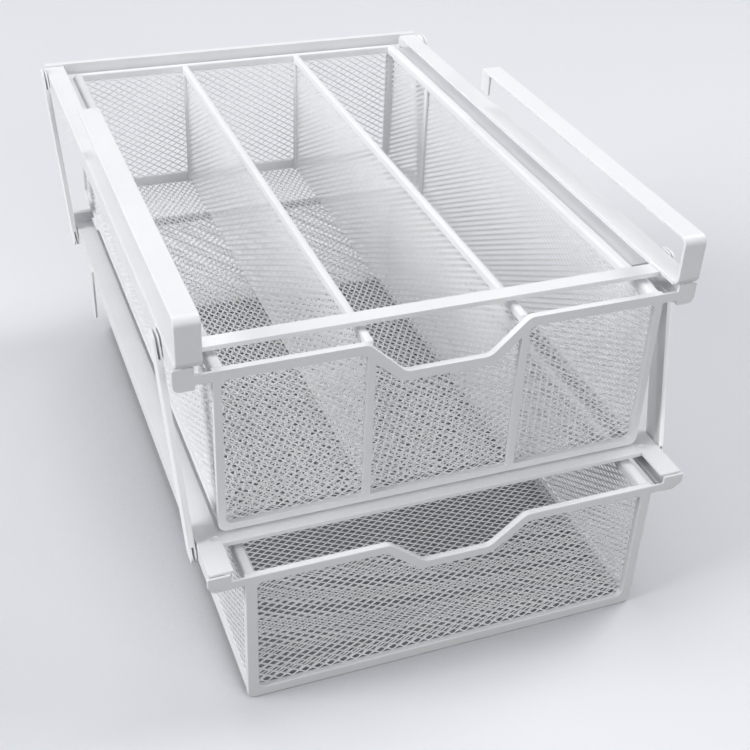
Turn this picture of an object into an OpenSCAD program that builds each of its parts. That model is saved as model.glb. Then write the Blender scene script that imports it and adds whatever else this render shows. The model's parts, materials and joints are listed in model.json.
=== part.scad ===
// Two-tier pull-out cabinet basket.
// A steel frame of C rails, cross bars and posts hooks over a shelf edge with two
// straps. Two expanded-metal drawers slide forward in its rails.
// +X is to the right as seen from the front, +Y is towards the back, +Z is up.
// The origin is the centre of the footprint, on the plane that the lower drawer rests on.

/* [Frame] */
// Width over the outer faces of the upper rails
frame_w = 300; // [220:1:420]
// Length of each rail, front to back
rail_len = 426.5; // [320:0.5:560]
// How far the lower tier stands forward of the upper one
tier_shift = 32; // [0:1:60]
// How far each lower rail is set in from the upper one above it
tier_inset = 5.5; // [3:0.5:9]

/* [Rails] */
// Height of the C rail
rail_h = 13.5; // [12:0.5:20]
// Width of the rail's top flange
rail_flange = 13.5; // [12:0.5:18]
// Width of the rail's bottom flange
rail_foot = 11; // [8:0.5:13]
// Height of the lip that is turned up along the bottom flange, its sheet included
rail_lip = 3; // [2:0.1:4]
// Sheet thickness of the rails
rail_t = 1.5; // [1:0.1:2]
// Outer radius of the rolled bottom corner
rail_bend = 4; // [2.5:0.5:5]

/* [Cross bars] */
// Width of the flat front cross bars, front to back
bar_w = 10; // [8:0.5:16]
// Thickness of the front cross bars
bar_t = 1.5; // [1:0.1:2]
// Length of the stepped end that is welded under the rail flange
bar_step = 6; // [4:0.5:8]
// Distance from the rail's front end to the upper front cross bar
upper_bar_set = 13.5; // [6:0.5:24]
// Distance from the rail's front end to the lower front cross bar
lower_bar_set = 22.5; // [6:0.5:24]
// Depth of the top flange of the rear angle bar and brackets
angle_w = 5; // [4:0.5:8]
// Height of the rear angle bar's leg
angle_h = 8.5; // [6:0.5:10]
// Sheet thickness of the rear angle bar and brackets
angle_t = 1.5; // [1:0.1:1.8]
// Length of the angle brackets on the lower rails' rear ends
bracket_len = 27; // [16:0.5:40]
// Height of those brackets above the rail
bracket_h = 5.5; // [3:0.5:6]

/* [Posts] */
// Width of a post's folded strip, front to back
post_w = 15; // [10:0.5:20]
// Thickness of a post over both its walls
post_t = 3.2; // [2.6:0.1:4]
// Sheet thickness of a post's walls
post_sheet = 1; // [0.7:0.1:1.1]
// Distance from a rail's front end to the front post, at both tiers
post_front_set = 22.5; // [10:0.5:60]
// Distance from a rail's rear end to the rear post, at both tiers
post_rear_set = 10; // [4:1:60]
// How far a post's top stands above the upper rail
post_rise = 2; // [0:0.5:6]
// Length of the open slit at each end of a post's front fold
post_slit = 12; // [6:1:20]
// Width of the tongue that keys a post into a rail's web
key_w = 7; // [4:0.5:9]
// Height of that tongue
key_h = 4; // [2:0.5:5]

/* [Shelf hooks] */
// Clear height between a hook's arms, for the shelf
hook_gap = 26; // [16:1:45]
// Length of the hook's arms, over the front bend
hook_len = 268; // [150:1:320]
// Width of the hook's strap
hook_w = 14; // [12:0.5:18]
// Thickness of the hook's strap
hook_t = 2; // [1.5:0.1:3]
// Outer radius of the hook's two bends
hook_bend = 5; // [3.5:0.5:8]
// How far the hook's front stands ahead of the rail's end
hook_overhang = 5; // [4:0.5:12]
// Length of the tab that is folded down at the rear of the top arm
hook_tab_len = 12; // [6:0.5:20]
// Height of that tab
hook_tab_h = 14; // [5:0.5:15]

/* [Side ears] */
// Width of the ear on each lower rail
ear_w = 14; // [8:0.5:24]
// How far the ear hangs below the rail
ear_drop = 30; // [10:1:45]
// Thickness of the ear
ear_t = 1.5; // [1:0.1:2.5]
// Distance from the lower rail's rear end to the ear
ear_rear_set = 88; // [60:1:160]

/* [Drawers] */
// Height of the upper drawer
upper_drawer_h = 106; // [70:1:160]
// Height of the lower drawer
lower_drawer_h = 94.5; // [70:0.5:160]
// Gap at each side between a drawer and the rail's flange
side_gap = 5.5; // [2:0.5:8]
// How far a drawer's rim lies below the top of its rails
rim_drop = 5.5; // [4:0.5:7]
// Gap between the upper drawer's front frame and the lower rails
deck_gap = 1.5; // [1.5:0.5:8]
// Gap between a drawer's back and the rear angle bar
rear_gap = 3; // [1:0.5:12]
// Height of the mesh floor above the bottom edge of the front frame
floor_lift = 9; // [9:0.5:14]
// Gap between a drawer's stop tabs and the rails' front ends
stop_gap = 0.5; // [0.3:0.1:2]
// Depth of the folded front and rear frames
face_t = 4; // [3:0.5:6]
// Height of the rim along the top of the front and rear frames
rim_h = 6; // [5:0.5:9]
// Width of the upper front frame's upright and bottom members
upper_member_w = 4.5; // [3.5:0.5:8]
// Width of the lower front frame's upright and bottom members
lower_member_w = 7; // [5:0.5:10]
// Width of the rear frames' uprights
rear_upright_w = 7; // [5:0.5:10]
// Outer corner radius of the front and rear frames
corner_r = 5; // [2:0.5:6]
// Height of the upper drawer's stop tabs, which rise nearly to the rails' tops
upper_tab_h = 13.5; // [8:0.5:15]
// Height of the lower drawer's stop tabs
lower_tab_h = 9; // [8:0.5:15]
// Thickness of the stop tabs
tab_t = 1.5; // [1:0.5:3]
// Width of the upper drawer's stop tabs
upper_tab_w = 11.5; // [6:0.5:15]
// Width of the lower drawer's stop tabs
lower_tab_w = 13.5; // [6:0.5:15]
// How far the stop tabs reach past the rails' outer faces
tab_over = 1.5; // [0:0.5:3]
// Width of the side rims
side_rim_w = 7; // [5:0.5:9]
// Width of the bottom side bars
sill_w = 5; // [4:0.5:7]
// Height of the bottom side bars, which hang below the floor sheet
sill_h = 4; // [2:0.5:4]
// Height of the rear frames' bottom member
rear_member_h = 8; // [5:0.5:10]

/* [Handle cut-outs] */
// Width of the upper handle dip at the rim
upper_dip_w = 94; // [60:1:130]
// Width of the lower handle dip at the rim
lower_dip_w = 84; // [60:1:130]
// Depth of the upper handle dip
upper_dip_d = 21; // [10:1:30]
// Depth of the lower handle dip
lower_dip_d = 18; // [10:1:30]
// Sideways run of each slanted end of a dip
dip_run = 22; // [8:1:28]
// Bend radius at the dip's corners
dip_r = 7; // [2:0.5:9]

/* [Dividers] */
// Distance between the two dividers
divider_pitch = 90; // [60:1:120]
// Width of the dividers' top bars and uprights
divider_w = 4.5; // [3:0.5:6]
// Height of the dividers' top bars
divider_bar_h = 6; // [4:0.5:9]
// Width of the stiffening stays on the upper drawer's side walls
stay_w = 5; // [3:0.5:8]
// Distance from the upper drawer's back to the stays
stay_rear_set = 84; // [40:1:160]

/* [Runners] */
// Sheet thickness of the drawer runners
runner_t = 1.5; // [1:0.1:2]
// Running clearance of a runner inside its rail
runner_gap = 0.5; // [0.3:0.1:0.8]
// Distance from the rail's front end to the runner's front end
runner_front_set = 36.5; // [24:0.5:60]

/* [Expanded metal] */
// Long diagonal of the mesh diamonds
mesh_long = 24; // [18:1:40]
// Short diagonal of the mesh diamonds
mesh_short = 17; // [12:1:30]
// Width of the mesh strands
mesh_strand = 1.8; // [1.4:0.1:2.6]
// Thickness of the mesh sheet
mesh_t = 1; // [0.8:0.1:1.4]

/* [Hidden] */

coat = "white";
arc_steps = 5;    // facets of a rounded outline corner
round_fn = 48;    // facets of a full circle
fit_gap = 0.3;    // gap between a post and the rail that it is keyed into
key_gap = 0.2;    // gap round the key tongue in its slot
mesh_edge = 1.6;  // plain border of each mesh sheet
web_drop = 3.5;   // depth of the underside of the runner's web below the rim's top
lip_gap = 1;      // gap between the runner's foot and the rail's lip
rim_round = 2.2;  // radius along the top edges of the side rims
tab_low = 1;      // depth of the stop tabs' tops below the rails' tops
tab_round = 4;    // radius of the stop tabs' lower outer corners
weld_r = 2;       // radius of the spot-weld dimples in the rail flanges
weld_d = 0.4;     // depth of those dimples

// Heights, from the floor upwards
lower_rim_z = lower_drawer_h;
lower_top = lower_rim_z + rim_drop;
upper_low_z = lower_top + deck_gap;
upper_deck_z = upper_low_z + floor_lift;
upper_rim_z = upper_low_z + upper_drawer_h;
upper_top = upper_rim_z + rim_drop;
upper_rear_h = upper_drawer_h - floor_lift + mesh_t;

// Places along the depth, from the front backwards
total_d = tab_t + stop_gap + tier_shift + rail_len;
lower_face_y = -total_d / 2;
lower_front = lower_face_y + tab_t + stop_gap;
upper_front = lower_front + tier_shift;
upper_face_y = upper_front - stop_gap - tab_t;
drawer_d = tab_t + stop_gap + rail_len - angle_w - rear_gap;
post_rear_y = rail_len - post_rear_set - post_w;

// Widths
upper_half = frame_w / 2;
lower_half = upper_half - tier_inset;
upper_drawer_w = frame_w - 2 * (rail_flange + side_gap);
lower_drawer_w = upper_drawer_w - 2 * tier_inset;
post_lean = atan(tier_inset / (upper_top - lower_top));

// ---- Outline helpers ----

// Arc points that round the corner b between a and c with radius r
function corner_arc(a, b, c, r) =
    let (u = (a - b) / norm(a - b), v = (c - b) / norm(c - b))
    let (half = acos(u * v) / 2, back = r / tan(half))
    let (mid = (u + v) / norm(u + v), centre = b + mid * r / sin(half))
    let (p = b + u * back - centre, q = b + v * back - centre)
    let (from = atan2(p[1], p[0]), turn = atan2(p[0] * q[1] - p[1] * q[0], p * q))
    [for (i = [0 : arc_steps]) let (t = from + turn * i / arc_steps)
        centre + r * [cos(t), sin(t)]];

// Closed outline whose corner i is rounded with radius radii[i], or sharp where that is 0
function rounded(points, radii) =
    let (n = len(points))
    [for (i = [0 : n - 1])
        each radii[i] > 0
            ? corner_arc(points[(i + n - 1) % n], points[i], points[(i + 1) % n], radii[i])
            : [points[i]]];

// Rectangle from [0, 0] with all corners rounded, as exact arcs
module round_rect(w, h, r) {
    translate([r, 0]) square([w - 2 * r, h]);
    translate([0, r]) square([w, h - 2 * r]);
    for (x = [r, w - r], y = [r, h - r]) translate([x, y]) circle(r, $fn = round_fn);
}

// Stands a flat outline up in the XZ plane, with thickness t towards +Y
module upright(t) {
    translate([0, t, 0]) rotate([90, 0, 0]) linear_extrude(t) children();
}

// Stands a flat outline, drawn as [y, z], in the YZ plane with thickness t towards +X
module sideways(t) {
    rotate([90, 0, 90]) linear_extrude(t) children();
}

// Sweeps a section, drawn as [x, z], along +Y for the given length
module along_y(length) {
    translate([0, length, 0]) rotate([90, 0, 0]) linear_extrude(length) children();
}

// Left piece as drawn, or its mirror image on the right
module on_side(side) {
    if (side == "left") children();
    else mirror([1, 0, 0]) children();
}

// ---- Expanded metal ----

// Diamond hole that leaves a strand's width between neighbours
module diamond(x, z) {
    slope = norm([mesh_long, mesh_short]);
    half_l = mesh_long / 2 - mesh_strand * slope / mesh_short / 2;
    half_s = mesh_short / 2 - mesh_strand * slope / mesh_long / 2;
    polygon([[x - half_l, z], [x, z - half_s], [x + half_l, z], [x, z + half_s]]);
}

// All the diamonds that cover a w by h sheet, centred on it
module diamond_field(w, h) {
    cols = ceil(w / mesh_long / 2) + 1;
    rows = ceil(h / mesh_short / 2) + 1;
    for (i = [-cols : cols], j = [-rows : rows], odd = [0, 1])
        let (x = (i + odd / 2) * mesh_long, z = (j + odd / 2) * mesh_short)
            if (abs(x) < (w + mesh_long) / 2 && abs(z) < (h + mesh_short) / 2)
                diamond(x + w / 2, z + h / 2);
}

// Flat sheet of expanded metal from [0, 0], with a plain border
module mesh_sheet(w, h) {
    difference() {
        square([w, h]);
        intersection() {
            translate([mesh_edge, mesh_edge]) square([w - 2 * mesh_edge, h - 2 * mesh_edge]);
            diamond_field(w, h);
        }
    }
}

// ---- Frame ----

// Section of the left rail: outer face at x = 0, top at z = 0, open towards +X
module rail_section() {
    inner_bend = rail_bend - rail_t;
    difference() {
        union() {
            translate([0, -rail_h + rail_bend]) square([rail_flange, rail_h - rail_bend]);
            translate([rail_bend, -rail_h]) square([rail_flange - rail_bend, rail_h]);
            translate([rail_bend, -rail_h + rail_bend]) circle(rail_bend, $fn = round_fn);
        }
        translate([rail_t, -rail_h + rail_bend])
            square([rail_flange, rail_h - rail_bend - rail_t]);
        translate([rail_bend, -rail_h + rail_t])
            square([rail_foot - rail_t - rail_bend, rail_h - 2 * rail_t]);
        translate([rail_bend, -rail_h + rail_bend]) circle(inner_bend, $fn = round_fn);
        translate([rail_foot - rail_t - 0.01, -rail_h + rail_lip])
            square([rail_flange, rail_h - rail_lip - rail_t]);
        translate([rail_foot, -rail_h - 1]) square([rail_flange, rail_lip + 1.01]);
    }
}

// Slots for the posts' key tongues, drawn for a left rail whose front end is at y = 0
module key_slots() {
    for (y = [post_front_set, post_rear_y])
        translate([-1, y + (post_w - key_w) / 2 - key_gap, -(rail_h + key_h) / 2 - key_gap])
            cube([rail_t + 2, key_w + 2 * key_gap, key_h + 2 * key_gap]);
}

// Left rail of a tier, with spot-weld dimples over the ends of the front cross bar
module rail(half, front, top, bar_set) {
    color(coat) translate([-half, front, top]) difference() {
        along_y(rail_len) rail_section();
        key_slots();
        translate([rail_flange - bar_step / 2, bar_set + bar_w / 2, -weld_d])
            cylinder(h = weld_d + 1, r = weld_r, $fn = round_fn);
    }
}

// Flat bar between the rails, with ends stepped down under their flanges
module front_bar(half, front, top, bar_set) {
    span = half - rail_flange;
    color(coat) translate([0, front + bar_set, top]) {
        translate([-span, 0, -rail_t - bar_t]) {
            cube([2 * span, bar_w, bar_t]);
            cube([2 * span, bar_w, bar_t + rail_t]);
        }
        translate([-span - bar_step, 0, -rail_t - bar_t])
            cube([2 * (span + bar_step), bar_w, bar_t]);
    }
}

// Angle bar over the upper rails' rear ends, its leg hanging between them
module rear_bar() {
    span = upper_half - rail_flange - fit_gap;
    color(coat) translate([0, upper_front + rail_len - angle_w, upper_top]) {
        translate([-upper_half, 0, 0]) cube([2 * upper_half, angle_w, angle_t]);
        translate([-span, 0, angle_t - angle_h]) cube([2 * span, angle_t, angle_h]);
    }
}

// Left bracket on the lower rail's rear end: a leg that stands on the rail and reaches
// inwards behind the drawer's rim, a flange along its top and a foot on the rail
module rear_bracket() {
    foot_w = rail_flange - rail_bend;
    color(coat) translate([-lower_half, lower_front + rail_len - angle_w, lower_top]) {
        cube([bracket_len, angle_t, bracket_h]);
        translate([0, 0, bracket_h - angle_t]) cube([bracket_len, angle_w, angle_t]);
        translate([rail_bend, -angle_w, 0]) cube([foot_w, angle_w + angle_t, angle_t / 2]);
    }
}

// Rectangle from [0, 0] whose two corners on the front edge are rounded
module round_front(length, height, r) {
    translate([r, 0]) square([length - r, height]);
    translate([0, r]) square([length, height - 2 * r]);
    for (z = [r, height - r]) translate([r, z]) circle(r, $fn = round_fn);
}

// Left-hand strap bent round the shelf's front edge, with a tab folded down at the back
module shelf_hook() {
    height = hook_gap + 2 * hook_t;
    color(coat) translate([-upper_half, upper_front - hook_overhang, upper_top]) {
        sideways(hook_w) difference() {
            round_front(hook_len, height, hook_bend);
            translate([hook_t, hook_t]) round_front(hook_len, hook_gap, hook_bend - hook_t);
        }
        translate([hook_w - hook_t, hook_len - hook_tab_len, height - hook_t - hook_tab_h])
            cube([hook_t, hook_tab_len, hook_tab_h]);
    }
}

// Side outline of a strip that leans with the posts, as [y, z], from z = low to z = high
module leaning_strip(width, low, high, r) {
    slope = tier_shift / (upper_top - lower_top);
    polygon(rounded([
        [slope * low, low], [slope * low + width, low],
        [slope * high + width, high], [slope * high, high]
    ], [r, r, r, r]));
}

// Left post, given the distance of its front edge behind the rails' front ends: a strip
// folded double along its front edge, open at the back and slit open at both ends
module post(set) {
    height = upper_top - lower_top + rail_h + post_rise;
    end_r = post_w / 3;
    color(coat) {
        translate([-lower_half - fit_gap, lower_front + set, lower_top - rail_h])
            rotate([0, -post_lean, 0]) translate([-post_t, 0, 0]) {
                for (x = [0, post_t - post_sheet]) translate([x, 0, 0])
                    sideways(post_sheet) leaning_strip(post_w, 0, height, end_r);
                sideways(post_t)
                    leaning_strip(post_sheet, post_slit, height - post_slit, 0);
            }
        key(lower_half, lower_front + set, lower_top);
        key(upper_half, upper_front + set, upper_top);
    }
}

// Tongue that keys a post into the slot in a left rail's web
module key(half, y, top) {
    lean_gap = fit_gap + rail_h / 2 * sin(post_lean);
    reach = rail_t + lean_gap + post_sheet / 2;
    translate([-half + rail_t - reach, y + (post_w - key_w) / 2, top - (rail_h + key_h) / 2])
        cube([reach, key_w, key_h]);
}

// Ear with a rounded end, on the outer face of the left lower rail
module side_ear() {
    y = lower_front + rail_len - ear_rear_set;
    r = ear_w / 2;
    color(coat) translate([-lower_half - ear_t, y, lower_top - rail_h])
        sideways(ear_t) {
            translate([0, -ear_drop + r]) square([ear_w, ear_drop - r + rail_h - rail_t]);
            translate([r, -ear_drop + r]) circle(r, $fn = round_fn);
        }
}

// ---- Drawers ----

// Line of the rim's top edge or, lowered by the rim's height, of its lower edge
function dip_line(half, drop, dip_w, dip_d) =
    let (bend = drop * tan(atan(dip_d / dip_run) / 2), top = dip_w / 2 + bend)
    [[-half, -drop], [-top, -drop], [-top + dip_run, -dip_d - drop],
     [top - dip_run, -dip_d - drop], [top, -drop], [half, -drop]];

// Outline of the front frame's opening, drawn with the rim's top at z = 0
module face_opening(w, h, dip_w, dip_d, member) {
    half = w / 2 - member;
    low = -h + member;
    r = corner_r - 1;
    polygon(rounded(
        concat(dip_line(half, rim_h, dip_w, dip_d), [[half, low], [-half, low]]),
        [r, dip_r, dip_r, dip_r, dip_r, r, r, r]));
}

// Outer outline of the front frame
module face_outline(w, h, dip_w, dip_d) {
    polygon(rounded(
        concat(dip_line(w / 2, 0, dip_w, dip_d), [[w / 2, -h], [-w / 2, -h]]),
        [0, dip_r, dip_r, dip_r, dip_r, 0, corner_r, corner_r]));
}

// Left stop tab in front of the rail's end, on an arm that runs on from the frame's rim
module stop_tab(w, reach, tab_w, tab_h) {
    top = rim_drop - tab_low;
    translate([-reach + tab_w / 2, -rim_h])
        square([reach - tab_w / 2 - w / 2 + face_t, rim_h]);
    polygon(rounded([
        [-reach, top - tab_h], [-reach + tab_w, top - tab_h], [-reach + tab_w, top], [-reach, top]
    ], [tab_round, tab_round / 4, tab_round / 4, tab_round / 4]));
}

// Folded front frame of a drawer, mullions standing where the dividers end
module face_frame(w, h, dip_w, dip_d, member, mullions) {
    upright(face_t) difference() {
        face_outline(w, h, dip_w, dip_d);
        face_opening(w, h, dip_w, dip_d, member);
    }
    for (x = mullions) translate([x - divider_w / 2, 0, 0])
        intersection() {
            translate([0, 0, -h + member]) cube([divider_w, face_t - mesh_t, h - member]);
            translate([-x + divider_w / 2, 0, 0])
                upright(face_t - mesh_t) face_opening(w, h, dip_w, dip_d, member);
        }
}

// Sheet that fills the front frame's opening, flush with the frame's inner face
module face_mesh(w, h, face_y, rim_z, dip_w, dip_d, member) {
    color(coat) translate([0, face_y + face_t - mesh_t, rim_z]) upright(mesh_t)
        difference() {
            face_opening(w, h, dip_w, dip_d, member);
            intersection() {
                face_opening_inset(w, h, dip_w, dip_d, member);
                translate([-w / 2, -h]) diamond_field(w, h);
            }
        }
}

// The front frame's opening, drawn smaller by the mesh sheet's plain border
module face_opening_inset(w, h, dip_w, dip_d, member) {
    half = w / 2 - member - mesh_edge;
    low = -h + member + mesh_edge;
    polygon(concat(dip_line(half, rim_h + mesh_edge, dip_w, dip_d), [[half, low], [-half, low]]));
}

// Plain rear frame of a drawer, h high from its foot to the rim's top
module rear_frame(w, h, face_y, rim_z) {
    color(coat) translate([-w / 2, face_y + drawer_d - face_t, rim_z - h])
        upright(face_t) difference() {
            round_rect(w, h, corner_r);
            translate([rear_upright_w, rear_member_h])
                square([w - 2 * rear_upright_w, h - rear_member_h - rim_h]);
        }
}

// Sheet in the rear frame's opening, flush with the frame's inner face
module rear_mesh(w, h, face_y, rim_z) {
    color(coat)
        translate([-w / 2 + rear_upright_w, face_y + drawer_d - face_t, rim_z - h + rear_member_h])
            upright(mesh_t) mesh_sheet(w - 2 * rear_upright_w, h - rear_member_h - rim_h);
}

// Left side rim, rounded along its top edges
module side_rim(w, face_y, rim_z) {
    color(coat) translate([-w / 2, face_y + face_t, rim_z - rim_h])
        along_y(drawer_d - 2 * face_t) {
            square([side_rim_w, rim_h - rim_round]);
            translate([rim_round, 0]) square([side_rim_w - 2 * rim_round, rim_h]);
            for (x = [rim_round, side_rim_w - rim_round]) translate([x, rim_h - rim_round])
                circle(rim_round, $fn = round_fn);
        }
}

// Left bottom bar, its top flush with the floor sheet
module sill(w, face_y, low_z) {
    color(coat) translate([-w / 2, face_y + face_t, low_z + floor_lift - sill_h])
        cube([sill_w, drawer_d - 2 * face_t, sill_h]);
}

// Left side wall sheet, between the rim and the bottom bar
module side_mesh(w, h, face_y, low_z) {
    color(coat) translate([-w / 2 + (sill_w - mesh_t) / 2, face_y + face_t, low_z + floor_lift])
        sideways(mesh_t) mesh_sheet(drawer_d - 2 * face_t, h - rim_h - floor_lift);
}

// Floor sheet, between the two bottom bars
module floor_mesh(w, face_y, low_z) {
    inner_w = w - 2 * sill_w;
    color(coat) translate([-inner_w / 2, face_y + face_t, low_z + floor_lift - mesh_t])
        linear_extrude(mesh_t) mesh_sheet(inner_w, drawer_d - 2 * face_t);
}

// Section of the left runner, drawn like the rail's: a web from the drawer, a wall inside
// the rail's web and a foot inside its bottom flange, with the corner rolled as the rail's
module runner_section(reach) {
    wall = rail_t + runner_gap;
    low = -rail_h + wall;
    r = rail_bend - wall;
    foot_w = rail_foot - rail_t - lip_gap - rail_bend;
    translate([wall, -rim_drop - web_drop]) square([reach - wall, runner_t]);
    translate([wall, low + r]) square([runner_t, -wall - low - r]);
    translate([rail_bend, low]) square([foot_w, runner_t]);
    difference() {
        intersection() {
            translate([rail_bend, low + r]) circle(r, $fn = round_fn);
            translate([wall, low]) square(r);
        }
        translate([wall + runner_t, low + runner_t]) square(r);
    }
}

// Left runner along the drawer's side
module runner(w, half, front, top, face_y) {
    length = face_y + drawer_d - face_t - front - runner_front_set;
    color(coat) translate([-half, front + runner_front_set, top])
        along_y(length) runner_section(half - w / 2);
}

// Left divider's frame: a top bar with an upright at the back
module divider_frame() {
    length = drawer_d - 2 * face_t;
    color(coat) translate([-(divider_pitch + divider_w) / 2, upper_face_y + face_t, 0]) {
        translate([0, 0, upper_rim_z - divider_bar_h]) cube([divider_w, length, divider_bar_h]);
        translate([0, length - divider_w, upper_deck_z])
            cube([divider_w, divider_w, upper_rim_z - divider_bar_h - upper_deck_z]);
    }
}

// Left divider's sheet
module divider_mesh() {
    length = drawer_d - 2 * face_t - divider_w;
    height = upper_rim_z - divider_bar_h - upper_deck_z;
    color(coat)
        translate([-(divider_pitch + mesh_t) / 2, upper_face_y + face_t, upper_deck_z])
            sideways(mesh_t) mesh_sheet(length, height);
}

// Left stay: an upright strip against the inner face of the side wall
module side_stay() {
    inner = (sill_w + mesh_t) / 2;
    y = upper_face_y + drawer_d - stay_rear_set;
    color(coat) translate([-upper_drawer_w / 2 + inner, y, upper_deck_z])
        cube([sill_w - inner, stay_w, upper_rim_z - rim_h - upper_deck_z]);
}

// ---- Assembly ----

module upper_rail(side) {
    on_side(side) rail(upper_half, upper_front, upper_top, upper_bar_set);
}

module lower_rail(side) {
    on_side(side) rail(lower_half, lower_front, lower_top, lower_bar_set);
}

module upper_face_frame() {
    color(coat) translate([0, upper_face_y, upper_rim_z]) {
        face_frame(upper_drawer_w, upper_drawer_h, upper_dip_w, upper_dip_d, upper_member_w,
            [-divider_pitch / 2, divider_pitch / 2]);
        for (side = ["left", "right"]) on_side(side) upright(tab_t)
            stop_tab(upper_drawer_w, upper_half + tab_over, upper_tab_w, upper_tab_h);
    }
}

module lower_face_frame() {
    color(coat) translate([0, lower_face_y, lower_rim_z]) {
        face_frame(lower_drawer_w, lower_drawer_h, lower_dip_w, lower_dip_d, lower_member_w, []);
        for (side = ["left", "right"]) on_side(side) upright(tab_t)
            stop_tab(lower_drawer_w, lower_half + tab_over, lower_tab_w, lower_tab_h);
    }
}

module upper_mesh_front() {
    face_mesh(upper_drawer_w, upper_drawer_h, upper_face_y, upper_rim_z, upper_dip_w,
        upper_dip_d, upper_member_w);
}

module lower_mesh_front() {
    face_mesh(lower_drawer_w, lower_drawer_h, lower_face_y, lower_rim_z, lower_dip_w,
        lower_dip_d, lower_member_w);
}

upper_rail("left");  // upper_rail_left
upper_rail("right");  // upper_rail_right
lower_rail("left");  // lower_rail_left
lower_rail("right");  // lower_rail_right
front_bar(upper_half, upper_front, upper_top, upper_bar_set);  // upper_front_bar
rear_bar();  // upper_rear_bar
front_bar(lower_half, lower_front, lower_top, lower_bar_set);  // lower_front_bar
on_side("left") rear_bracket();  // rear_bracket_left
on_side("right") rear_bracket();  // rear_bracket_right
on_side("left") post(post_front_set);  // post_front_left
on_side("right") post(post_front_set);  // post_front_right
on_side("left") post(post_rear_y);  // post_rear_left
on_side("right") post(post_rear_y);  // post_rear_right
on_side("left") shelf_hook();  // shelf_hook_left
on_side("right") shelf_hook();  // shelf_hook_right
on_side("left") side_ear();  // side_ear_left
on_side("right") side_ear();  // side_ear_right

upper_face_frame();
rear_frame(upper_drawer_w, upper_rear_h, upper_face_y, upper_rim_z);  // upper_rear_frame
on_side("left") side_rim(upper_drawer_w, upper_face_y, upper_rim_z);  // upper_rim_left
on_side("right") side_rim(upper_drawer_w, upper_face_y, upper_rim_z);  // upper_rim_right
on_side("left") sill(upper_drawer_w, upper_face_y, upper_low_z);  // upper_sill_left
on_side("right") sill(upper_drawer_w, upper_face_y, upper_low_z);  // upper_sill_right
on_side("left") runner(upper_drawer_w, upper_half, upper_front, upper_top, upper_face_y);  // upper_runner_left
on_side("right") runner(upper_drawer_w, upper_half, upper_front, upper_top, upper_face_y);  // upper_runner_right
on_side("left") side_stay();  // upper_stay_left
on_side("right") side_stay();  // upper_stay_right
upper_mesh_front();
rear_mesh(upper_drawer_w, upper_rear_h, upper_face_y, upper_rim_z);  // upper_mesh_rear
on_side("left") side_mesh(upper_drawer_w, upper_drawer_h, upper_face_y, upper_low_z);  // upper_mesh_left
on_side("right") side_mesh(upper_drawer_w, upper_drawer_h, upper_face_y, upper_low_z);  // upper_mesh_right
floor_mesh(upper_drawer_w, upper_face_y, upper_low_z);  // upper_mesh_floor
on_side("left") divider_frame();  // divider_frame_left
on_side("right") divider_frame();  // divider_frame_right
on_side("left") divider_mesh();  // divider_mesh_left
on_side("right") divider_mesh();  // divider_mesh_right

lower_face_frame();
rear_frame(lower_drawer_w, lower_drawer_h, lower_face_y, lower_rim_z);  // lower_rear_frame
on_side("left") side_rim(lower_drawer_w, lower_face_y, lower_rim_z);  // lower_rim_left
on_side("right") side_rim(lower_drawer_w, lower_face_y, lower_rim_z);  // lower_rim_right
on_side("left") sill(lower_drawer_w, lower_face_y, 0);  // lower_sill_left
on_side("right") sill(lower_drawer_w, lower_face_y, 0);  // lower_sill_right
on_side("left") runner(lower_drawer_w, lower_half, lower_front, lower_top, lower_face_y);  // lower_runner_left
on_side("right") runner(lower_drawer_w, lower_half, lower_front, lower_top, lower_face_y);  // lower_runner_right
lower_mesh_front();
rear_mesh(lower_drawer_w, lower_drawer_h, lower_face_y, lower_rim_z);  // lower_mesh_rear
on_side("left") side_mesh(lower_drawer_w, lower_drawer_h, lower_face_y, 0);  // lower_mesh_left
on_side("right") side_mesh(lower_drawer_w, lower_drawer_h, lower_face_y, 0);  // lower_mesh_right
floor_mesh(lower_drawer_w, lower_face_y, 0);  // lower_mesh_floor
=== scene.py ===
import json
import math

import bmesh
import bpy
from mathutils import Matrix, Vector

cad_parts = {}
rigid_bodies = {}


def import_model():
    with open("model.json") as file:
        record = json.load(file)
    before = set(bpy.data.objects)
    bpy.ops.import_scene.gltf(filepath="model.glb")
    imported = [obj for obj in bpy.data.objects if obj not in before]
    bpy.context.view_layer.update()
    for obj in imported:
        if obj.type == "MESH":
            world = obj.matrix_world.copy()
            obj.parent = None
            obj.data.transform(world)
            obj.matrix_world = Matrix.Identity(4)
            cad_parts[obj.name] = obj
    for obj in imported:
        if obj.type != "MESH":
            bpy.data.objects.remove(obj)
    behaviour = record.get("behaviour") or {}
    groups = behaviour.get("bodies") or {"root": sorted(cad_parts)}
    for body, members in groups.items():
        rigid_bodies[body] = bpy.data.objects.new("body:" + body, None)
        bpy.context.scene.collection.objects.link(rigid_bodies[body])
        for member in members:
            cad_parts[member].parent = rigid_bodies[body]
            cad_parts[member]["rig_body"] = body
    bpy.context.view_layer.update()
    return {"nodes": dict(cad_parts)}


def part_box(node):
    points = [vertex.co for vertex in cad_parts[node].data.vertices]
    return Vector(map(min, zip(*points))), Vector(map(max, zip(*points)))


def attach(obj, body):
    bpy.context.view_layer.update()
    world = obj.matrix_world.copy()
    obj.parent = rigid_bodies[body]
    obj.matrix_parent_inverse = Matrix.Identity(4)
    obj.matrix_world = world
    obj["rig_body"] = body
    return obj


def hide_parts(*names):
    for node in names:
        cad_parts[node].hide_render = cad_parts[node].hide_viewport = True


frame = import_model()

nodes = frame["nodes"]
MM = 0.001
X, Y, Z = Vector((1, 0, 0)), Vector((0, 1, 0)), Vector((0, 0, 1))
ACROSS = (X, Z, Y)
ALONG = (Y, Z, X)

# Sizes of the part are in millimetres, and the studio's are in metres.

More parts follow.
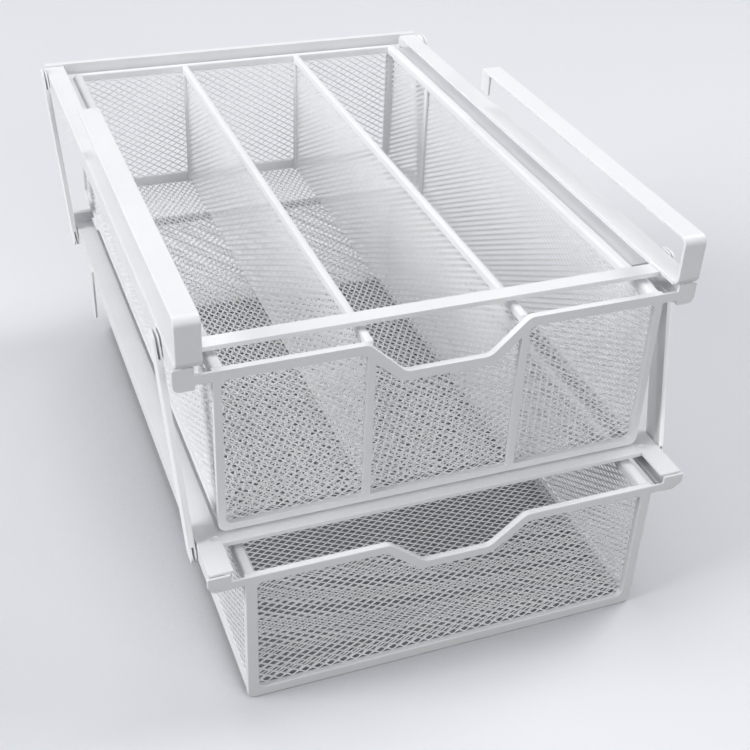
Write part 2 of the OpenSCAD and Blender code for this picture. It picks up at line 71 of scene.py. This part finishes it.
# How far and in how many steps a node's edges are rounded, by the first name that fits.
SOFT_EDGES = (
    ("lower_face_frame", 2.2, 3),
    ("_frame", 1.3, 3),
    ("hook", 0.6, 3),
    ("rim", 0.6, 2),
    ("sill", 0.6, 2),
    ("stay", 0.6, 2),
    ("", 0.35, 2),
)

# Edges above the sharp angle are rounded, those below the flat one are taken away, and
# those above the shading angle stay crisp. Points nearer than this in metres are one.
SHARP_ANGLE = math.radians(28)
FLAT_ANGLE = math.radians(1)
SHADING_ANGLE = math.radians(40)
SAME_POINT = 2e-6

# Expanded metal: its diamonds and the section of its strands, for the floors and rears,
# the fronts, and the upright sheets along the drawer.
LONG_WAY = 7.8
FLOOR_GAUGE = {"short_way": 4.8, "wide": 0.9, "thick": 0.75}
FRONT_GAUGE = {"short_way": 4.6, "wide": 0.55, "thick": 0.5}
WALL_GAUGE = {"short_way": 4.2, "wide": 1.35, "thick": 0.4}

# How the strands of the upright sheets lean out of their plane, in degrees.
FRONT_LEAN = -20
REAR_LEAN = -61
SIDE_LEAN = -14

# How far a sheet's edge runs on: into a bar, to the next sheet, past the front sheet.
BURY = 1.0
MEET = 0.5
PASS = 1.5

# The slopes of the handle dip in the front frames, and the rim that follows them.
DIP_RUN = 22.0
RIM_HEIGHT = 6.0

# What differs between the tiers: the dip's width and depth, and the floor sheet's plane,
# the lean of its strands and how far it runs on before its start and after its end.
TIERS = {
    "upper": {
        "dip": (94.0, 21.0),
        "floor": (Y, X, Z),
        "lean": -36,
        "before": (MEET, BURY),
        "after": (BURY, BURY),
    },
    "lower": {
        "dip": (84.0, 18.0),
        "floor": (X, Y, Z),
        "lean": -33,
        "before": (BURY, MEET),
        "after": (BURY, MEET),
    },
}

# Shades of the studio floor, as the camera sees it and as it throws light back, and the
# even light of the sky, which the pale backdrop hides from the camera. The floor's side.
FLOOR_SEEN = (0.8, 0.808, 0.846)
FLOOR_SEEN_HIGH = (0.82, 0.828, 0.866)
FLOOR_BOUNCE = (0.14, 0.14, 0.145)
FLOOR_BOUNCE_HIGH = (0.16, 0.16, 0.165)
SKY_LIGHT = (0.14, 0.143, 0.15)
FLOOR_SIZE = 7

# Disk lamps: name, place, aim, width in metres, watts.
LAMPS = (
    ("left_key", (-5.0, 0.1, 2.6), (0, 0, 0.12), 3.6, 236),
    ("right_key", (2.6, 0.6, 3.4), (0.1, 0, 0.1), 2.0, 68),
    ("top", (-0.3, 0.9, 3.4), (0, 0, 0.1), 2.0, 25),
    ("front_fill", (0.2, -3.0, 1.3), (0, 0, 0.12), 1.6, 33),
)

# The camera's place and turns, and its focal length in pixels of the square picture.
CAMERA_PLACE = Vector((-0.2488, -0.70315, 0.5603))
CAMERA_YAW = math.radians(22.15)
CAMERA_PITCH = math.radians(34.33)
CAMERA_ROLL = math.radians(2.69)
FOCAL_PIXELS = 1245.68
PICTURE_PIXELS = 750
SENSOR_WIDTH = 36


# ---- Materials ----

# How far the coat's roughness goes up and down between glossy and dull patches.
GLOSS_SWING = 0.07


def noise(tree, coords, scale, detail):
    """A noise texture in the object's own coordinates."""
    texture = tree.nodes.new("ShaderNodeTexNoise")
    texture.inputs["Scale"].default_value = scale
    texture.inputs["Detail"].default_value = detail
    tree.links.new(coords.outputs["Object"], texture.inputs["Vector"])
    return texture.outputs["Fac"]


def two_shades(tree, fac, start, low, end, high):
    """A colour that runs from low to high while fac runs from start to end."""
    ramp = tree.nodes.new("ShaderNodeValToRGB")
    first, last = ramp.color_ramp.elements
    first.position = start
    first.color = (*low, 1)
    last.position = end
    last.color = (*high, 1)
    tree.links.new(fac, ramp.inputs["Fac"])
    return ramp.outputs["Color"]


def span_mapped(tree, value, start, end, low, high):
    """A value that runs from low to high while the given one runs from start to end."""
    mapped = tree.nodes.new("ShaderNodeMapRange")
    mapped.inputs["From Min"].default_value = start
    mapped.inputs["From Max"].default_value = end
    mapped.inputs["To Min"].default_value = low
    mapped.inputs["To Max"].default_value = high
    tree.links.new(value, mapped.inputs["Value"])
    return mapped.outputs["Result"]


def powder_coat(name, light, deep, grain_scale, roughness):
    """White powder coat: slight changes of shade, orange peel and an uneven gloss."""
    mat = bpy.data.materials.new(name)
    mat.use_nodes = True
    tree = mat.node_tree
    tree.nodes.clear()
    link = tree.links.new
    out = tree.nodes.new("ShaderNodeOutputMaterial")
    shader = tree.nodes.new("ShaderNodeBsdfPrincipled")
    link(shader.outputs["BSDF"], out.inputs["Surface"])
    coords = tree.nodes.new("ShaderNodeTexCoord")

    cloud = noise(tree, coords, scale=22.0, detail=4.0)
    shade = two_shades(tree, cloud, start=0.3, low=deep, end=0.7, high=light)
    link(shade, shader.inputs["Base Color"])

    patch = noise(tree, coords, scale=140.0, detail=3.0)
    dull, glossy = roughness + GLOSS_SWING, roughness - GLOSS_SWING
    gloss = span_mapped(tree, patch, start=0.3, end=0.7, low=glossy, high=dull)
    link(gloss, shader.inputs["Roughness"])
    shader.inputs["Specular IOR Level"].default_value = 0.45

    peel = tree.nodes.new("ShaderNodeBump")
    peel.inputs["Strength"].default_value = 0.12
    peel.inputs["Distance"].default_value = 0.0002
    grain = noise(tree, coords, scale=grain_scale, detail=2.0)
    link(grain, peel.inputs["Height"])
    link(peel.outputs["Normal"], shader.inputs["Normal"])
    return mat


coat = powder_coat("powder_coat", (0.9, 0.91, 0.925), (0.86, 0.872, 0.89), 900, 0.42)
mesh_coat = powder_coat(
    "powder_coat_mesh", (0.94, 0.945, 0.952), (0.89, 0.897, 0.908), 1400, 0.46
)


# ---- Rigid pieces: the CAD solids with the soft edges of a coated sheet ----


def add_piece(name, mesh, material, node):
    """A visible piece that stands for a CAD node and moves with the node's body."""
    mesh.materials.append(material)
    piece = bpy.data.objects.new(name, mesh)
    bpy.context.scene.collection.objects.link(piece)
    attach(piece, nodes[node]["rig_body"])
    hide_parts(node)
    return piece


def soft_edged(node, width, segments):
    """The solid of a CAD node with its sharp edges rounded by width millimetres."""
    mesh = bpy.data.meshes.new(node + "_coated")
    bm = bmesh.new()
    bm.from_mesh(nodes[node].data)
    bmesh.ops.remove_doubles(bm, verts=bm.verts, dist=SAME_POINT)
    bmesh.ops.dissolve_limit(bm, angle_limit=FLAT_ANGLE, verts=bm.verts, edges=bm.edges)
    sharp = [
        edge
        for edge in bm.edges
        if len(edge.link_faces) == 2 and edge.calc_face_angle() > SHARP_ANGLE
    ]
    bmesh.ops.bevel(
        bm,
        geom=sharp,
        offset=width * MM,
        offset_type="OFFSET",
        segments=segments,
        profile=0.5,
        affect="EDGES",
        clamp_overlap=True,
    )
    for face in bm.faces:
        face.smooth = True
    bm.to_mesh(mesh)
    bm.free()
    mesh.set_sharp_from_angle(angle=SHADING_ANGLE)
    piece = add_piece(node + "_coated", mesh, coat, node)
    even = piece.modifiers.new("even_normals", "WEIGHTED_NORMAL")
    even.keep_sharp = True


for node in sorted(nodes):
    if "_mesh_" not in node:
        _, width, segments = next(entry for entry in SOFT_EDGES if entry[0] in node)
        soft_edged(node, width, segments)


# ---- Expanded metal ----

# Below these, lines are parallel, a stretch is nothing, and two stretches meet.
PARALLEL = 1e-12
SHORTEST = 1e-6
TOUCHING = 1e-9


def inside(p, outline):
    """Whether p lies in the closed outline."""
    hit = False
    x, y = p
    for (ax, ay), (bx, by) in zip(outline, outline[1:] + outline[:1]):
        if (ay > y) != (by > y) and x < ax + (y - ay) * (bx - ax) / (by - ay):
            hit = not hit
    return hit


def spans(p, q, outline):
    """The stretches of the segment from p to q that lie in the outline, as pairs of shares."""
    cuts = [0.0, 1.0]
    dx, dy = q[0] - p[0], q[1] - p[1]
    for (ax, ay), (bx, by) in zip(outline, outline[1:] + outline[:1]):
        ex, ey = bx - ax, by - ay
        cross = dx * ey - dy * ex
        if abs(cross) < PARALLEL:
            continue
        t = ((ax - p[0]) * ey - (ay - p[1]) * ex) / cross
        s = ((ax - p[0]) * dy - (ay - p[1]) * dx) / cross
        if 0 < t < 1 and 0 <= s <= 1:
            cuts.append(t)
    cuts.sort()
    found = []
    for a, b in zip(cuts, cuts[1:]):
        if b - a < SHORTEST:
            continue
        middle = (a + b) / 2
        if inside((p[0] + dx * middle, p[1] + dy * middle), outline):
            if found and abs(found[-1][1] - a) < TOUCHING:
                found[-1] = (found[-1][0], b)
            else:
                found.append((a, b))
    return found


def clipped(points, outline):
    """The stretches of a line of (u, v, n) points that lie inside the outline."""
    runs = [[]]
    for p, q in zip(points, points[1:]):
        parts = spans(p[:2], q[:2], outline)
        for a, b in parts:
            start, end = (
                tuple(p[i] + (q[i] - p[i]) * share for i in range(3)) for share in (a, b)
            )
            if a > 0 or not runs[-1]:
                runs.append([start])
            runs[-1].append(end)
            if b < 1:
                runs.append([])
        if not parts:
            runs.append([])
    return [run for run in runs if len(run) > 1]


def strand_runs(outline, tilt, gauge):
    """Centre lines of the strands inside the outline, each a list of (u, v, n)."""
    reach = gauge["wide"] / 2
    step_v = reach * math.cos(tilt)
    step_n = reach * math.sin(tilt)
    us = [p[0] for p in outline]
    vs = [p[1] for p in outline]
    mid_u = (min(us) + max(us)) / 2
    half_long, half_short = LONG_WAY / 2, gauge["short_way"] / 2
    count = int((max(us) - min(us)) / 2 / half_long) + 2
    first = int(min(vs) / half_short) - 2
    last = int(max(vs) / half_short) + 2
    runs = []
    for row in range(first, last + 1):
        zigzag = []
        for k in range(-count, count + 1):
            high = (k + row) % 2
            v = row * half_short + (half_short - step_v if high else step_v)
            zigzag.append((mid_u + k * half_long, v, -step_n if high else step_n))
        runs += clipped(zigzag, outline)
    return runs


def extent(node, axis):
    """Where a CAD node starts and ends along an axis, in millimetres."""
    return [round(Vector(corner).dot(axis) / MM, 3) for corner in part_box(node)]


def expanded_metal(name, node, axes, outline, lean, gauge):
    """A sheet in the plane of the axes u and v, whose strands lean from v to n by lean degrees."""
    u, v, n = axes
    origin = n * (sum(extent(node, n)) / 2)
    tilt = math.radians(lean)
    half_wide, half_thick = gauge["wide"] / 2, gauge["thick"] / 2
    wide = (math.cos(tilt) * half_wide, math.sin(tilt) * half_wide)
    thick = (-math.sin(tilt) * half_thick, math.cos(tilt) * half_thick)
    section = [
        (wide[0] * a + thick[0] * b, wide[1] * a + thick[1] * b)
        for a, b in ((-1, -1), (1, -1), (1, 1), (-1, 1))
    ]
    verts, faces = [], []
    for run in strand_runs(outline, tilt, gauge):
        base = len(verts)
        for pu, pv, pn in run:
            for sv, sn in section:
                at = origin + u * pu + v * (pv + sv) + n * (pn + sn)
                verts.append(at * MM)
        for i in range(len(run) - 1):
            a = base + 4 * i
            for c in range(4):
                d = (c + 1) % 4
                faces.append((a + c, a + d, a + 4 + d, a + 4 + c))
        end = base + 4 * (len(run) - 1)
        faces.append((base + 3, base + 2, base + 1, base))
        faces.append((end, end + 1, end + 2, end + 3))
    mesh = bpy.data.meshes.new(name)
    mesh.from_pydata(verts, [], faces)
    mesh.validate()
    bm = bmesh.new()
    bm.from_mesh(mesh)
    bmesh.ops.recalc_face_normals(bm, faces=bm.faces)
    bm.to_mesh(mesh)
    bm.free()
    add_piece(name, mesh, mesh_coat, node)


def sheet_outline(node, axes, before=(BURY, BURY), after=(BURY, BURY)):
    """A CAD sheet's rectangle in u and v, let out before its start and after its end."""
    (u0, u1), (v0, v1) = extent(node, axes[0]), extent(node, axes[1])
    u0, v0 = u0 - before[0], v0 - before[1]
    u1, v1 = u1 + after[0], v1 + after[1]
    return [(u0, v0), (u1, v0), (u1, v1), (u0, v1)]


def face_outline(node, axes, dip):
    """The front sheet's rectangle with the handle's dip in its upper edge."""
    low_left, low_right, high_right, high_left = sheet_outline(node, axes)
    dip_width, dip_depth = dip
    edge = high_right[1]
    bend = RIM_HEIGHT * math.tan(math.atan(dip_depth / DIP_RUN) / 2)
    top = dip_width / 2 + bend
    dip_line = [
        (top, edge),
        (top - DIP_RUN, edge - dip_depth),
        (-top + DIP_RUN, edge - dip_depth),
        (-top, edge),
    ]
    return [low_left, low_right, high_right] + dip_line + [high_left]


for prefix, tier in TIERS.items():
    node = prefix + "_mesh_front"
    outline = face_outline(node, ACROSS, tier["dip"])
    expanded_metal(prefix + "_front_expanded", node, ACROSS, outline, FRONT_LEAN, FRONT_GAUGE)

    node = prefix + "_mesh_rear"
    outline = sheet_outline(node, ACROSS)
    expanded_metal(prefix + "_rear_expanded", node, ACROSS, outline, REAR_LEAN, FLOOR_GAUGE)

    for side in ("left", "right"):
        node = prefix + "_mesh_" + side
        name = prefix + "_" + side + "_expanded"
        expanded_metal(name, node, ALONG, sheet_outline(node, ALONG), SIDE_LEAN, WALL_GAUGE)

    node, axes = prefix + "_mesh_floor", tier["floor"]
    outline = sheet_outline(node, axes, tier["before"], tier["after"])
    expanded_metal(prefix + "_floor_expanded", node, axes, outline, tier["lean"], FLOOR_GAUGE)

for side in ("left", "right"):
    node = "divider_mesh_" + side
    outline = sheet_outline(node, ALONG, before=(PASS, MEET))
    expanded_metal(
        "divider_" + side + "_expanded", node, ALONG, outline, SIDE_LEAN, WALL_GAUGE
    )


# ---- Floor, light and camera ----


def seen_or_lit(tree, seen, lit):
    """One colour for the camera's and mirror-like rays, and one for all other light."""
    link = tree.links.new
    path = tree.nodes.new("ShaderNodeLightPath")
    is_seen = tree.nodes.new("ShaderNodeMath")
    is_seen.operation = "MAXIMUM"
    link(path.outputs["Is Camera Ray"], is_seen.inputs[0])
    link(path.outputs["Is Glossy Ray"], is_seen.inputs[1])
    pick = tree.nodes.new("ShaderNodeMixRGB")
    link(is_seen.outputs["Value"], pick.inputs["Fac"])
    for socket, colour in (("Color1", lit), ("Color2", seen)):
        if isinstance(colour, tuple):
            pick.inputs[socket].default_value = (*colour, 1)
        else:
            link(colour, pick.inputs[socket])
    return pick.outputs["Color"]


def stage_floor():
    """Pale studio floor, with painted shade: its colour darkened by ambient occlusion where the
    part closes it in from all sides.
    """
    bpy.ops.mesh.primitive_plane_add(size=FLOOR_SIZE, location=(0, 0, 0))
    plane = bpy.context.object
    plane.name = "studio_floor"
    mat = bpy.data.materials.new("studio_floor")
    mat.use_nodes = True
    tree = mat.node_tree
    link = tree.links.new
    shader = tree.nodes["Principled BSDF"]
    shader.inputs["Roughness"].default_value = 0.9
    shader.inputs["Specular IOR Level"].default_value = 0.1
    coords = tree.nodes.new("ShaderNodeTexCoord")
    cloud = noise(tree, coords, scale=3.0, detail=2.0)
    seen = two_shades(tree, cloud, start=0, low=FLOOR_SEEN, end=1, high=FLOOR_SEEN_HIGH)
    lit = two_shades(tree, cloud, start=0, low=FLOOR_BOUNCE, end=1, high=FLOOR_BOUNCE_HIGH)

    # Painted shade: ambient occlusion scales the floor's colour down, both as seen and as bounced,
    # to deepen the shadow under and around the part.
    painted_shade_ao = tree.nodes.new("ShaderNodeAmbientOcclusion")
    painted_shade_ao.samples = 6
    painted_shade_ao.inputs["Distance"].default_value = 0.25
    depth = span_mapped(tree, painted_shade_ao.outputs["AO"], start=0.15, end=0.6, low=0.4, high=1.0)
    dim = tree.nodes.new("ShaderNodeVectorMath")
    dim.operation = "SCALE"
    link(seen_or_lit(tree, seen, lit), dim.inputs[0])
    link(depth, dim.inputs["Scale"])
    link(dim.outputs["Vector"], shader.inputs["Base Color"])
    plane.data.materials.append(mat)


def studio_world():
    """A dim even sky as light, with a pale backdrop for the camera."""
    world = bpy.data.worlds.new("studio")
    bpy.context.scene.world = world
    world.use_nodes = True
    tree = world.node_tree
    background = tree.nodes["Background"]
    background.inputs["Strength"].default_value = 1.0
    colour = seen_or_lit(tree, FLOOR_SEEN, SKY_LIGHT)
    tree.links.new(colour, background.inputs["Color"])


def area_lamp(name, place, aim, width, watts):
    lamp = bpy.data.lights.new(name, "AREA")
    lamp.shape = "DISK"
    lamp.size = width
    lamp.energy = watts
    holder = bpy.data.objects.new(name, lamp)
    holder.location = place
    towards = Vector(aim) - Vector(place)
    holder.rotation_euler = towards.to_track_quat("-Z", "Y").to_euler()
    bpy.context.scene.collection.objects.link(holder)


def place_camera():
    """The camera at its place, turned by yaw, pitch and roll."""
    forward = Vector(
        (
            math.sin(CAMERA_YAW) * math.cos(CAMERA_PITCH),
            math.cos(CAMERA_YAW) * math.cos(CAMERA_PITCH),
            -math.sin(CAMERA_PITCH),
        )
    )
    level = Vector((math.cos(CAMERA_YAW), -math.sin(CAMERA_YAW), 0))
    upward = level.cross(forward)
    right = level * math.cos(CAMERA_ROLL) + upward * math.sin(CAMERA_ROLL)
    up = upward * math.cos(CAMERA_ROLL) - level * math.sin(CAMERA_ROLL)
    data = bpy.data.cameras.new("camera")
    data.sensor_width = SENSOR_WIDTH
    data.lens = FOCAL_PIXELS / PICTURE_PIXELS * SENSOR_WIDTH
    data.clip_start = 0.01
    camera = bpy.data.objects.new("camera", data)
    turn = Matrix((right, up, -forward)).transposed()
    camera.matrix_world = Matrix.Translation(CAMERA_PLACE) @ turn.to_4x4()
    bpy.context.scene.collection.objects.link(camera)
    bpy.context.scene.camera = camera


stage_floor()
studio_world()
for lamp in LAMPS:
    area_lamp(*lamp)
place_camera()
bpy.context.scene.view_settings.view_transform = "Standard"
